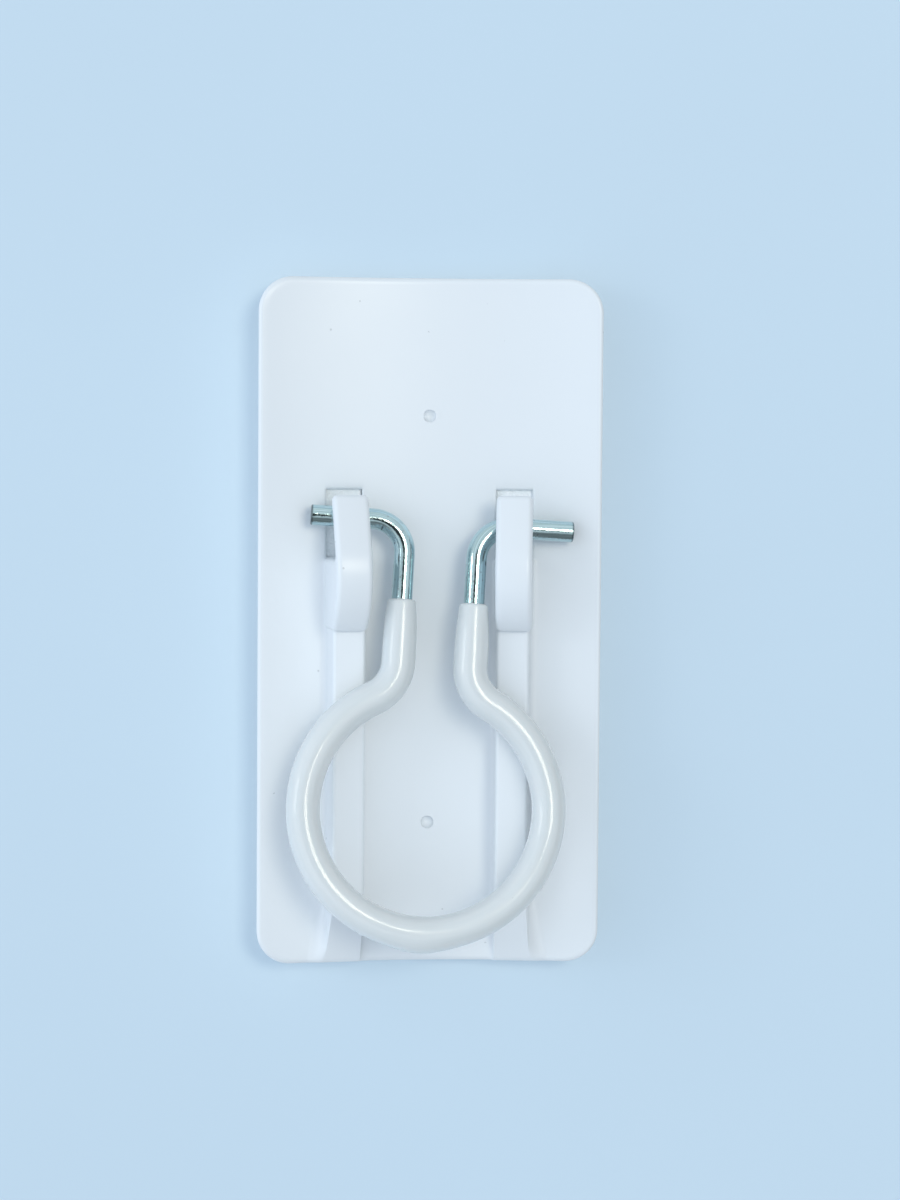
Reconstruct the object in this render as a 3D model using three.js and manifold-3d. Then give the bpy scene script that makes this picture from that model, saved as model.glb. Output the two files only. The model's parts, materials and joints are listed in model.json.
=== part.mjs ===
// A wall-mounted mop holder. A dished plate carries two moulded hooks that open upwards and two
// ribs below them, a bent wire with a vinyl-coated ring swings in the hooks and jams on a pole
// that is pushed up through it, and a foam pad with a flat back sticks the plate to the wall.
//
// Millimetres. +Z is up, the front faces -Y, and the wall is the plane y = 0. The origin is the
// middle of the pad's back. Heights on the plate are measured from the middle of its height.
import * as THREE from "three";
import { mergeVertices } from "three/addons/utils/BufferGeometryUtils.js";
import Module from "manifold-3d";

// Plate
const plateWidth = 50;
const plateHeight = 100;
const plateWall = 2;
const plateCorner = 5;
const dishRadius = 90; // front face, hollow towards the viewer

// Adhesive pad
const padWidth = 34;
const padHeight = 90;
const padCorner = 4;
const padThickness = 1; // at the middle, where the dished plate comes closest to the wall

// Hooks, in side view: distances from the plate's front face and heights along it
const hookSpacing = 25; // centre to centre along the dished face
const hookWidth = 4.9;
const hookRounding = 0.6; // along all the edges of a hook
const hookFoot = -1.4;
const throatFloor = 9.4;
const crownLevel = 7.2; // where the hook stands furthest off the plate
const crownRadius = 12;
const fingerSlope = THREE.MathUtils.degToRad(21.6);
const fingerReach = 9.2; // from the throat's floor to the tip
const fingerWall = 1.8;
const throatRounding = 1.2;
const throatPlay = 0.3; // between the wire and the inside of the finger

// Windows in the plate behind the fingers
const windowWidth = 5.2;
const windowMargin = 0.7; // past the tip

// Ribs, from the hooks down to the plate's lower edge
const ribHeight = 4.6;
const ribWidth = 4.8; // across the top
const ribDraft = 0.15; // each side, from the top to the foot
const ribRounding = 0.6;
const ribFillet = 1;
const rampLength = 9;
const rampEnd = 0.4; // rib height left at the plate's lower edge

// Shallow round marks on the front face, one above the other
const markRadius = 0.9;
const markDepth = 0.5;
const markLevels = [30, -29.5];

// Wire
const wireDiameter = 2.8;
const wireChamfer = 0.3;
const stubOverhang = 4.15; // past the outside of a hook, with the ring in the middle
const elbowRadius = 4.8;
const armLength = 15.7; // straight, from an elbow to the bend below it
const bendRadius = 6;
const ringRadius = 17.7;

// Vinyl coat on the ring and the lower arms
const coatDiameter = 4.9;
const coatMouth = 4.1; // diameter where the coat starts
const coatTaper = 7; // length over which it grows
const coatLip = 0.45; // rounding of its ends
const bareArm = 6.6; // straight wire left bare below an elbow
const dripHeight = 0.55; // bead under the lowest point of the ring
const dripLength = 2.2;

// How the loose ring lies: moved along its hooks, turned in its plane, and leaning on the ribs
const ringShift = 1.6;
const ringTurn = THREE.MathUtils.degToRad(3.6);
const stubLift = 5.1; // from the throat's floor to the middle of the stubs

// Clearances
const seatGap = 0.3; // between pieces that rest on each other
const coatGap = 0.12; // between the wire and its coat
const armPlay = 1; // at each side, between the coated arms and the hooks

// Facets
const dishSteps = 28;
const wireSides = 12;
const coatSides = 16;
const bendStep = 1.6; // longest step along a bend

// Past any surface that a cut goes through
const overrun = 1;

// Derived sizes
const wireRadius = wireDiameter / 2;
const coatRadius = coatDiameter / 2;
const hookAngle = hookSpacing / 2 / dishRadius;
const dishAxis = -(padThickness + seatGap + plateWall + dishRadius);
const faceMiddle = dishAxis + dishRadius;
const hookEdge = Math.min(hookRounding, 0.4 * fingerWall);
const hookTip = throatFloor + fingerReach;
const windowTop = hookTip + windowMargin;
const plateBottom = -plateHeight / 2;

// The stub that reaches furthest out clears the dished face by the seat gap.
const stubReach = hookSpacing / 2 + hookWidth / 2 + stubOverhang;
const farReach = ringShift + stubReach;
const faceRise = dishRadius - Math.sqrt(dishRadius ** 2 - farReach ** 2);
const stubHeight = faceRise + wireRadius + seatGap;
const stubLevel = throatFloor + stubLift;

// The finger's round tip stands where its inner face clears the higher of the two stubs.
const hookReach = dishRadius * Math.sin(hookAngle) + hookWidth / 2;
const highLevel = stubLevel + (ringShift + hookReach) * Math.tan(ringTurn);
const leanRise = (hookWidth / 2) * Math.tan(hookAngle);
const wireHeight = dishRadius - (dishRadius - stubHeight) / Math.cos(hookAngle) + leanRise;
const fingerMiddle = wireHeight + (wireRadius + throatPlay + fingerWall / 2) / Math.cos(fingerSlope);
const tipLevel = hookTip - fingerWall / 2;
const tipHeight = fingerMiddle - (tipLevel - highLevel) * Math.tan(fingerSlope);
const crownMiddle = tipHeight + (tipLevel - crownLevel) * Math.tan(fingerSlope);
const crownCentre = crownMiddle + (fingerWall / 2 - crownRadius) / Math.cos(fingerSlope);

// Half the free width between the hooks at their crowns, where they lean closest together.
const crownDistance = dishRadius - crownCentre - crownRadius;
const crownGap = crownDistance * Math.sin(hookAngle) - (hookWidth / 2) * Math.cos(hookAngle);

// The wire's own plane: u along the stubs, v upwards from the stub axis.
const armOffset = crownGap - armPlay - coatRadius;
const bendLevel = -(elbowRadius + armLength);
const bendReach = ringRadius + bendRadius;
const bendAngle = Math.acos((armOffset + bendRadius) / bendReach);
const ringLevel = bendLevel - bendReach * Math.sin(bendAngle);
const coatLevel = -(elbowRadius + bareArm);

const wasm = await Module();
wasm.setup();

// A closed three.js geometry as a solid for cutting and joining.
function solid(geometry, matrix = new THREE.Matrix4()) {
  const bare = geometry.clone();
  bare.deleteAttribute("normal");
  bare.deleteAttribute("uv");
  const merged = mergeVertices(bare.applyMatrix4(matrix), 1e-4);
  const mesh = new wasm.Mesh({
    numProp: 3,
    vertProperties: new Float32Array(merged.attributes.position.array),
    triVerts: new Uint32Array(merged.index.array),
  });
  return new wasm.Manifold(mesh);
}

// A solid back as a three.js geometry with flat-shaded facets.
function geometryOf(made) {
  const mesh = made.getMesh();
  const geometry = new THREE.BufferGeometry();
  geometry.setAttribute("position", new THREE.BufferAttribute(mesh.vertProperties, mesh.numProp));
  geometry.setIndex(new THREE.BufferAttribute(mesh.triVerts, 1));
  const facets = geometry.toNonIndexed();
  facets.computeVertexNormals();
  return facets;
}

// A rectangle with round corners, centred on the origin.
function roundedRectangle(width, height, radius) {
  const x = width / 2 - radius;
  const y = height / 2 - radius;
  const outline = new THREE.Shape();
  outline.absarc(x, y, radius, 0, Math.PI / 2);
  outline.absarc(-x, y, radius, Math.PI / 2, Math.PI);
  outline.absarc(-x, -y, radius, Math.PI, 1.5 * Math.PI);
  outline.absarc(x, -y, radius, 1.5 * Math.PI, 2 * Math.PI);
  outline.closePath();
  return outline;
}

// The same outline as a plain polygon, without the points that repeat where its curves meet.
function polygon(outline, divisions) {
  const points = [];
  for (const point of outline.getPoints(divisions)) {
    const repeats = [points[0], points.at(-1)].some((p) => p && p.distanceTo(point) < 1e-3);
    if (!repeats) points.push(point);
  }
  return new THREE.Shape(points);
}

// A front outline carried from the wall out to the given distance.
function frontPrism(outline, depth) {
  const prism = new THREE.ExtrudeGeometry(polygon(outline, 5), { depth, bevelEnabled: false });
  return prism.rotateX(Math.PI / 2);
}

// A round bar about the dish's axis, as tall as the plate and a little more.
function dishCylinder(radius) {
  const half = Math.asin((plateWidth / 2 + overrun) / radius);
  const sector = new THREE.Shape();
  sector.absarc(0, 0, radius, Math.PI / 2 - half, Math.PI / 2 + half);
  sector.lineTo(0, 0);
  sector.closePath();
  const bar = new THREE.ExtrudeGeometry(polygon(sector, dishSteps / 2), {
    depth: plateHeight + 2 * overrun,
    bevelEnabled: false,
  });
  return solid(bar.translate(0, dishAxis, plateBottom - overrun));
}

// Places a shape on the plate's face at an angle round the dish's axis. The three directions say
// where the shape's own x, y and z go, with the face at the plate's middle as their origin.
function onFace(angle, x, y, z) {
  const turned = new THREE.Matrix4().makeBasis(x, y, z);
  const toFace = new THREE.Matrix4().makeTranslation(0, dishRadius, 0);
  const round = new THREE.Matrix4().makeRotationZ(-angle);
  const toAxis = new THREE.Matrix4().makeTranslation(0, dishAxis, 0);
  return toAxis.multiply(round).multiply(toFace).multiply(turned);
}

const right = new THREE.Vector3(1, 0, 0);
const front = new THREE.Vector3(0, -1, 0);
const up = new THREE.Vector3(0, 0, 1);
const down = new THREE.Vector3(0, 0, -1);

// A side view (height along the plate, distance off its face) carried across a width.
function sideBar(outline, width, angle, rounding = 0) {
  const bar = new THREE.ExtrudeGeometry(polygon(outline, 6), {
    depth: width - 2 * rounding,
    bevelEnabled: rounding > 0,
    bevelSize: rounding,
    bevelOffset: -rounding,
    bevelThickness: rounding,
    bevelSegments: 3,
  });
  bar.translate(0, 0, rounding - width / 2);
  return solid(bar, onFace(angle, up, front, right));
}

// The hook's side view: a round lower front that runs into a finger sloping down to its round
// tip, with a straight inner face one wall further in, and a throat that opens upwards.
function hookOutline() {
  const half = fingerWall / 2;
  const square = Math.PI / 2 - fingerSlope;
  const innerLevel = tipLevel - half * Math.sin(fingerSlope);
  const innerHeight = tipHeight - half * Math.cos(fingerSlope);
  const ceiling = innerHeight + (innerLevel - throatFloor) * Math.tan(fingerSlope);
  const ceilingLevel = throatFloor + throatRounding * Math.cos(fingerSlope);
  const ceilingHeight = ceiling - throatRounding * Math.sin(fingerSlope);
  const footAngle = Math.PI - Math.acos((crownLevel - hookFoot) / crownRadius);
  const outline = new THREE.Shape();
  outline.moveTo(hookFoot, -plateWall / 2);
  outline.lineTo(throatFloor, -plateWall / 2);
  outline.lineTo(throatFloor, ceiling - throatRounding);
  outline.quadraticCurveTo(throatFloor, ceiling, ceilingLevel, ceilingHeight);
  outline.absarc(tipLevel, tipHeight, half, square - Math.PI, square);
  outline.absarc(crownLevel, crownCentre, crownRadius, square, footAngle);
  outline.closePath();
  return outline;
}

// The rib's cross-section (across, off the face), with round top edges and filleted feet that
// run out a little below the face.
function ribSection() {
  const top = ribWidth / 2;
  const foot = top + ribDraft;
  const outer = foot + ribFillet;
  const sunk = -ribFillet / 4;
  const section = new THREE.Shape();
  section.moveTo(-outer, sunk - plateWall / 2);
  section.lineTo(outer, sunk - plateWall / 2);
  section.lineTo(outer, sunk);
  section.quadraticCurveTo(foot, 0, foot, ribFillet);
  section.lineTo(top, ribHeight - ribRounding);
  section.quadraticCurveTo(top, ribHeight, top - ribRounding, ribHeight);
  section.lineTo(ribRounding - top, ribHeight);
  section.quadraticCurveTo(-top, ribHeight, -top, ribHeight - ribRounding);
  section.lineTo(-foot, ribFillet);
  section.quadraticCurveTo(-foot, 0, -outer, sunk);
  section.closePath();
  return section;
}

// One rib from inside the hook's foot down past the plate's edge, its lower end ramped off.
function rib(angle) {
  const top = hookFoot + hookEdge + overrun;
  const bar = new THREE.ExtrudeGeometry(polygon(ribSection(), 4), {
    depth: top - plateBottom + overrun,
    bevelEnabled: false,
  });
  bar.translate(0, 0, -top);
  const fall = (ribHeight - rampEnd) / rampLength;
  const ramp = new THREE.Shape();
  ramp.moveTo(plateBottom + rampLength, ribHeight);
  ramp.lineTo(plateBottom + rampLength, ribHeight + overrun);
  ramp.lineTo(plateBottom - 2 * overrun, ribHeight + overrun);
  ramp.lineTo(plateBottom - 2 * overrun, rampEnd - 2 * overrun * fall);
  ramp.closePath();
  const footWidth = ribWidth + 2 * (ribDraft + ribFillet + overrun);
  return solid(bar, onFace(angle, right, front, down)).subtract(sideBar(ramp, footWidth, angle));
}

// The opening in the plate behind a hook's finger.
function windowCut(angle) {
  const outline = new THREE.Shape();
  outline.moveTo(throatFloor, -plateWall - overrun);
  outline.lineTo(windowTop, -plateWall - overrun);
  outline.lineTo(windowTop, overrun);
  outline.lineTo(throatFloor, overrun);
  outline.closePath();
  return sideBar(outline, windowWidth, angle);
}

function markCut(level) {
  const depth = markDepth + overrun;
  const pin = new THREE.CylinderGeometry(markRadius, markRadius, depth, 20);
  return solid(pin.translate(0, faceMiddle + markDepth - depth / 2, level));
}

// The dished plate with its hooks, ribs, windows and marks, as one moulding.
function basePlate() {
  const shell = dishCylinder(dishRadius + plateWall).subtract(dishCylinder(dishRadius));
  const outline = roundedRectangle(plateWidth, plateHeight, plateCorner);
  let body = shell;
  for (const angle of [-hookAngle, hookAngle]) body = body.add(rib(angle));
  body = body.intersect(solid(frontPrism(outline, dishRadius)));
  for (const angle of [-hookAngle, hookAngle]) {
    body = body.subtract(windowCut(angle));
    body = body.add(sideBar(hookOutline(), hookWidth, angle, hookEdge));
  }
  for (const level of markLevels) body = body.subtract(markCut(level));
  return geometryOf(body);
}

// The foam pad: flat on the wall, its front hollowed to the plate's round back.
function adhesivePad() {
  const outline = roundedRectangle(padWidth, padHeight, padCorner);
  const block = solid(frontPrism(outline, padThickness + plateWidth / 4));
  return geometryOf(block.subtract(dishCylinder(dishRadius + plateWall + seatGap)));
}

// The wire's centre line in its own plane: left stub, elbow, arm and bend, the ring, and back up
// on the right. With ends it starts and stops at the stubs' tips, otherwise where the coat does.
function centreLine(ends) {
  const side = armOffset + elbowRadius;
  const bend = armOffset + bendRadius;
  const line = new THREE.Path();
  if (ends) {
    line.moveTo(-stubReach, 0);
    line.lineTo(-side, 0);
    line.absarc(-side, -elbowRadius, elbowRadius, Math.PI / 2, 0, true);
  } else line.moveTo(-armOffset, coatLevel);
  line.lineTo(-armOffset, bendLevel);
  line.absarc(-bend, bendLevel, bendRadius, 0, -bendAngle, true);
  line.absarc(0, ringLevel, ringRadius, Math.PI - bendAngle, 2 * Math.PI + bendAngle);
  line.absarc(bend, bendLevel, bendRadius, Math.PI + bendAngle, Math.PI, true);
  if (ends) {
    line.absarc(side, -elbowRadius, elbowRadius, Math.PI, Math.PI / 2, true);
    line.lineTo(stubReach, 0);
  } else line.lineTo(armOffset, coatLevel);
  return line;
}

// Stations along the centre line: each has its point, its direction and its distance from the
// start. Bends are cut into short steps, and straights where the radius changes on the way.
function stations(line, lengthAt) {
  const found = [];
  let before = 0;
  for (const curve of line.curves) {
    const length = curve.getLength();
    const bends = curve.isEllipseCurve;
    const fractions = [];
    const steps = Math.ceil(length / bendStep);
    if (bends) for (let i = 0; i <= steps; i += 1) fractions.push(i / steps);
    else for (const at of lengthAt(before, length)) fractions.push(at / length);
    for (const t of fractions) {
      const point = curve.getPoint(t);
      if (found.length && point.distanceTo(found.at(-1).point) < 1e-3) continue;
      found.push({ point, direction: curve.getTangent(t), distance: before + t * length });
    }
    before += length;
  }
  return found;
}

// A ring of points round a station, at the radius given for each angle round the wire. Angle 0
// is to the left of the direction of travel, in the wire's plane.
function ringOf({ point, direction }, sides, radiusAt) {
  const points = [];
  for (let i = 0; i < sides; i += 1) {
    const angle = (2 * Math.PI * i) / sides;
    const across = radiusAt(angle) * Math.cos(angle);
    const u = point.x - direction.y * across;
    const v = point.y + direction.x * across;
    points.push(new THREE.Vector3(u, -radiusAt(angle) * Math.sin(angle), v));
  }
  return points;
}

// The closed surface through a row of rings: joined end to end, or capped at both ends.
function skin(rings, joined) {
  const sides = rings[0].length;
  const points = rings.flat();
  const faces = [];
  const last = joined ? rings.length : rings.length - 1;
  for (let i = 0; i < last; i += 1) {
    const near = i * sides;
    const far = ((i + 1) % rings.length) * sides;
    for (let j = 0; j < sides; j += 1) {
      const next = (j + 1) % sides;
      faces.push(near + j, near + next, far + next, near + j, far + next, far + j);
    }
  }
  if (!joined) {
    const end = last * sides;
    for (let j = 1; j < sides - 1; j += 1) faces.push(0, j + 1, j, end, end + j, end + j + 1);
  }
  const geometry = new THREE.BufferGeometry().setFromPoints(points);
  geometry.setIndex(faces);
  const facets = geometry.toNonIndexed();
  facets.computeVertexNormals();
  return facets;
}

function wireRing() {
  const line = centreLine(true);
  const total = line.getLength();
  const row = stations(line, (before, length) => {
    if (before === 0) return [0, wireChamfer, length];
    return before + length > total - 1e-3 ? [0, length - wireChamfer, length] : [0, length];
  });
  const ends = [row[0], row.at(-1)];
  return skin(
    row.map((at) => ringOf(at, wireSides, () => wireRadius - (ends.includes(at) ? wireChamfer : 0))),
    false,
  );
}

// The coat's outer radius: a round lip at each end, a taper that levels off, and a bead of drip
// on the outside of the ring's lowest point.
function coatOutside(distance, total) {
  const fromEnd = Math.min(distance, total - distance);
  const lip = coatLip - Math.sqrt(Math.max(0, coatLip ** 2 - Math.max(0, coatLip - fromEnd) ** 2));
  const grown = Math.min(1, fromEnd / coatTaper);
  const radius = (coatMouth + (coatDiameter - coatMouth) * Math.sin((grown * Math.PI) / 2)) / 2;
  const bead = dripHeight * Math.exp(-(((distance - total / 2) / dripLength) ** 2));
  return (angle) => radius - lip + bead * Math.max(0, -Math.cos(angle)) ** 2;
}

function vinylCoat() {
  const line = centreLine(false);
  const total = line.getLength();
  const lips = [0, coatLip / 3, coatLip, coatTaper / 4, coatTaper / 2, coatTaper];
  const row = stations(line, (before, length) => {
    const inside = lips.filter((at) => at < length - coatLip);
    if (before === 0) return [...inside, length];
    return [0, ...inside.map((at) => length - at).reverse()];
  });
  const bore = wireRadius + coatGap;
  const outside = row.map((at) => ringOf(at, coatSides, coatOutside(at.distance, total)));
  const inside = row.map((at) => ringOf(at, coatSides, () => bore / Math.cos(Math.PI / coatSides)));
  return skin([...outside, ...inside.reverse()], true);
}

// A point of the wire's plane in the part's frame, when the ring leans out by the given angle.
function placed(point, lean) {
  const drop = point.y * Math.cos(lean);
  return new THREE.Vector3(
    ringShift + point.x * Math.cos(ringTurn) + drop * Math.sin(ringTurn),
    faceMiddle - stubHeight + point.y * Math.sin(lean),
    stubLevel - point.x * Math.sin(ringTurn) + drop * Math.cos(ringTurn),
  );
}

// The least distance from the coat to the two ribs when the ring leans out by the given angle.
function ribClearance(lean) {
  const row = stations(centreLine(false), (before, length) => [0, length]);
  let least = Infinity;
  for (const { point } of row) {
    const at = placed(point, lean);
    if (at.z > hookFoot) continue;
    const angle = Math.sign(at.x) * hookAngle;
    const out = at.y - dishAxis;
    const across = at.x * Math.cos(angle) - out * Math.sin(angle);
    const off = dishRadius - (at.x * Math.sin(angle) + out * Math.cos(angle));
    const beside = Math.max(0, Math.abs(across) - ribWidth / 2);
    const above = Math.max(0, off - ribHeight);
    least = Math.min(least, Math.hypot(beside, above) - coatRadius);
  }
  return least;
}

// The lean at which the ring comes to rest on the ribs, found by halving.
function restLean() {
  let low = 0;
  let high = Math.PI / 4;
  for (let i = 0; i < 40; i += 1) {
    const middle = (low + high) / 2;
    if (ribClearance(middle) < seatGap) low = middle;
    else high = middle;
  }
  return high;
}

function piece(name, geometry, color, roughness, metalness) {
  const material = new THREE.MeshStandardMaterial({ color, roughness, metalness });
  const mesh = new THREE.Mesh(geometry, material);
  mesh.name = name;
  return mesh;
}

// The ring's group turns about the stub axis, which runs along its own x.
const swing = new THREE.Group();
swing.rotation.x = -restLean();
swing.add(piece("wire_ring", wireRing(), 0xb9c6c8, 0.22, 1));
swing.add(piece("vinyl_coat", vinylCoat(), 0xdfe5e6, 0.3, 0));

const hung = new THREE.Group();
hung.position.set(ringShift, faceMiddle - stubHeight, stubLevel);
hung.rotation.y = ringTurn;
hung.add(swing);

const holder = new THREE.Group();
holder.add(piece("base_plate", basePlate(), 0xeef3f8, 0.42, 0));
holder.add(piece("adhesive_pad", adhesivePad(), 0xd5dadc, 0.8, 0));
holder.add(hung);

export default holder;
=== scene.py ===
"""A wall-mounted mop holder in its finishes.

A dished plate with moulded hooks and ribs, a bent zinc-plated wire whose ring is dipped in vinyl,
and the foam pad that sticks the plate to the wall. Every surface is worked out from the sizes
below, in metres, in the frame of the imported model: +Z up, the front towards -Y, the wall at y = 0.
"""

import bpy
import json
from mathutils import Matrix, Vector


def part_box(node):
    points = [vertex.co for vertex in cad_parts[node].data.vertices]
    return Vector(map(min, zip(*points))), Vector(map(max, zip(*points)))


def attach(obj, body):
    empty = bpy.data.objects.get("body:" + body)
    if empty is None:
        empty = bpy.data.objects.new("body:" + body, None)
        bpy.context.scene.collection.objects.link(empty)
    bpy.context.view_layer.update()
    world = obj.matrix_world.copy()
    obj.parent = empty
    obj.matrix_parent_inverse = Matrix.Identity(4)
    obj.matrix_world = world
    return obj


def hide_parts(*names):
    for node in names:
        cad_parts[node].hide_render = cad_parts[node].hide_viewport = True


bl_info = {
    "name": "Mop Holder",
    "version": (1, 0, 0),
    "blender": (4, 5, 0),
    "location": "View3D > Sidebar > Mop Holder",
    "description": "Makes a wall-mounted mop holder with a swinging ring, and its stage",
    "category": "Object",
}

import json
import math

import bpy
import numpy as np
from bpy.props import FloatProperty, FloatVectorProperty, PointerProperty
from bpy.types import Operator, Panel, PropertyGroup
from mathutils import Matrix

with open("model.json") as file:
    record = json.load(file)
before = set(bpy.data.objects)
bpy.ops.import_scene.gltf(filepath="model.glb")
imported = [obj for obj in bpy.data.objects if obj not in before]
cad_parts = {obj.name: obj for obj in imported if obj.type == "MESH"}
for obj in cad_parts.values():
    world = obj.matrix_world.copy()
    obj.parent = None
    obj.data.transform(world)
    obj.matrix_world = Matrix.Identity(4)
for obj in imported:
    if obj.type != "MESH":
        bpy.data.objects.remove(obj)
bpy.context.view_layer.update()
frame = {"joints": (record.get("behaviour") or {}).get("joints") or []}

MM = 0.001
CM = 10 * MM
PLATE_LOW, PLATE_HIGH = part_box("base_plate")
PAD_LOW, PAD_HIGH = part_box("adhesive_pad")
SWING = frame["joints"][0]
PIVOT = SWING["pos_m"]
RING_TURN = math.atan2(SWING["axis"][2], -SWING["axis"][0])

# Scuffs from the bending tool: place along the wire in centimetres, then the cosine and sine of the
# place round it, and the size of each scuff in the same three measures.
SCUFFS = (
    ((1.75, -0.61, 0.79), (0.1, 0.07, 0.3)),
    ((1.08, -0.75, 0.6), (0.018, 0.4, 0.6)),
    ((15.4, -0.86, 0.5), (0.05, 0.12, 0.3)),
)

# Distance from a cut end, in millimetres, where the near-black colour starts and where it is full.
CUT_FADE = (0.35, 0.12)

# Millimetres along the wire for each radian of the coat's two ripples.
RIPPLES = (3.1, 7.3)

# How finely the round pieces are cut, and the angle past which an edge stays sharp.
WIRE_SIDES, WIRE_STEP = 32, 0.6 * MM
COAT_SIDES, COAT_STEP = 40, 0.5 * MM
END_ROUNDS = 5
SHARP = math.radians(38)

# How far the plate's fine cuts reach: radii round a mark, flares beside a rib, and past a ramp's
# crest. Then the length over which a rib's upper end fades out inside its hook.
MARK_REACH, FLARE_REACH, CREST_REACH = 1.4, 1.5, 2 * MM
RIB_FADE = 0.6 * MM

# The wall's place behind the pad, and the colour of its patches over its own.
WALL_GAP = 0.3 * MM
WALL_PATCHES = 0.985

# Directions of the surroundings, each with the two cosines between which it fades in, and the light
# from the sides and the left over that from the front.
FROM_FRONT = ((0, -1, 0), 0.5, 0.95)
FROM_LEFT = ((-1, 0, 0), 0.2, 0.75)
FROM_BEHIND = ((0, 1, 0), 0.0, 0.4)
SIDE_LIGHT, LEFT_LIGHT = 0.35, 1.1

# What metal and gloss see dimmed: below, the far right and where the camera is, each with its two
# cosines and the share of light that is left.
DIM_IN_GLOSS = (
    ((0, 0, -1), 0.15, 0.6, 0.25),
    ((1, 0, 0), 0.87, 0.93, 0.2),
    ((-0.14, -0.985, 0.05), 0.945, 0.968, 0.05),
)
WHITE = (1, 1, 1)


# Sizes and colours that can be changed in the sidebar


def length(name, description, millimetres):
    """A length, given in millimetres."""
    return FloatProperty(
        name=name, description=description, default=millimetres * MM, unit="LENGTH"
    )


def angle(name, description, degrees):
    """An angle, given in degrees."""
    return FloatProperty(
        name=name, description=description, default=math.radians(degrees), subtype="ANGLE"
    )


def colour(name, description, default):
    """A colour, as red, green and blue from 0 to 1."""
    return FloatVectorProperty(
        name=name, description=description, default=default, size=3, min=0, max=1, subtype="COLOR"
    )


class PlateSizes(PropertyGroup):
    """The dished plate with its windows and round marks."""

    width: length("Width", "Across the front", (PLATE_HIGH.x - PLATE_LOW.x) / MM)
    height: length("Height", "From the lower to the upper edge", (PLATE_HIGH.z - PLATE_LOW.z) / MM)
    wall: length("Wall", "Thickness of the plate", 2)
    corner: length("Corner", "Radius of the corners in front view", 5)
    dish_radius: length("Dish radius", "Radius of the hollow front face", 90)
    face: length("Face", "From the wall to the middle of the front face", 3.3)
    rounding: length("Rounding", "Radius along the front edge", 0.7)
    back_rounding: length("Back rounding", "Radius along the back edge", 0.4)
    window_width: length("Window width", "Across the opening behind a finger", 5.2)
    window_low: length("Window low", "Level of a window's lower edge", 9.4)
    window_high: length("Window high", "Level of a window's upper edge", 19.3)
    mark_radius: length("Mark radius", "Radius of the round moulding marks", 0.9)
    mark_depth: length("Mark depth", "Depth of the round moulding marks", 1.1)
    mark_high: length("Upper mark", "Level of the upper mark", 30)
    mark_low: length("Lower mark", "Level of the lower mark", -29.5)


class RibSizes(PropertyGroup):
    """The two ribs from the hooks down to the lower edge."""

    spacing: length("Spacing", "Between the ribs' middles, along the dished face", 25)
    width: length("Width", "Across the top", 4.8)
    height: length("Height", "Off the face", 4.6)
    draft: length("Draft", "How far each side leans out from the top to the foot", 0.15)
    rounding: length("Rounding", "Radius of the top edges", 0.6)
    fillet: length("Fillet", "Radius of the hollow along the feet", 1)
    ramp: length("Ramp", "Length of the ramp at the lower end", 9)
    ramp_end: length("Ramp end", "Height left at the plate's lower edge", 0.4)
    ramp_blend: length("Ramp blend", "Softness of the ramp's edges", 0.9)
    flare: length("Flare", "How much larger the outer fillet is at the ramp's lower end", 2.2)
    top: length("Top", "Level of the upper end, inside the hook", 9.3)


class HookSizes(PropertyGroup):
    """The two hooks that open upwards."""

    width: length("Width", "Across a hook", 5.3)
    shift: length("Shift", "How far a hook stands outwards from its rib's middle", 0.2)
    rounding: length("Rounding", "Radius along the edges", 0.8)
    foot_rounding: length("Foot rounding", "Radius of the foot's front edge", 1)
    foot: length("Foot", "Level of the lower end", -1)
    floor: length("Throat floor", "Level where the throat starts", 9.45)
    tip: length("Tip", "Level of the middle of the round tip", 17.7)
    tip_height: length("Tip height", "Middle of the tip, off the face", 5.561)
    wall: length("Finger wall", "Thickness of the finger", 1.8)
    slope: angle("Slope", "How steeply the finger runs down to its tip", 21.6)
    crown: length("Crown", "Level where the hook stands furthest off the face", 7.2)
    crown_radius: length("Crown radius", "Radius of the lower front", 10)
    throat: length("Throat rounding", "Size of the hollow at the top of the throat", 1.2)
    sunk: length("Sunk", "How far the foot reaches into the plate", 0.8)


class WireSizes(PropertyGroup):
    """The bent wire."""

    diameter: length("Diameter", "Thickness of the wire", 3)
    chamfer: length("Chamfer", "At the cut ends", 0.22)
    stub: length("Stub reach", "From the middle to a stub's end", 19.1)
    elbow: length("Elbow radius", "Between a stub and its arm", 4.8)
    arm_offset: length("Arm offset", "From the middle to an arm", 5.2295)
    arm: length("Arm", "Straight length of an arm", 15.7)
    bend: length("Bend radius", "Between an arm and the ring", 6)
    ring: length("Ring radius", "Middle of the wire in the ring", 17.7)
    lean: angle("Lean", "How far the ring leans out at rest", 8.3795)


class CoatSizes(PropertyGroup):
    """The dipped vinyl coat on the ring and the lower arms."""

    diameter: length("Diameter", "Over the coat", 4.9)
    mouth: length("Mouth", "Diameter where the coat starts", 4.1)
    taper: length("Taper", "Length over which the coat grows", 7)
    lip: length("Lip", "Rounding of the coat's ends", 0.45)
    gap: length("Gap", "Between the wire and the coat", 0.12)
    bare: length("Bare arm", "Straight wire left bare below an elbow", 6.6)
    drip: length("Drip", "Height of the bead under the ring", 0.42)
    drip_length: length("Drip length", "Half length of the bead along the ring", 3.2)
    ripple: length("Ripple", "Unevenness of the dipped skin", 0.025)


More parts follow.
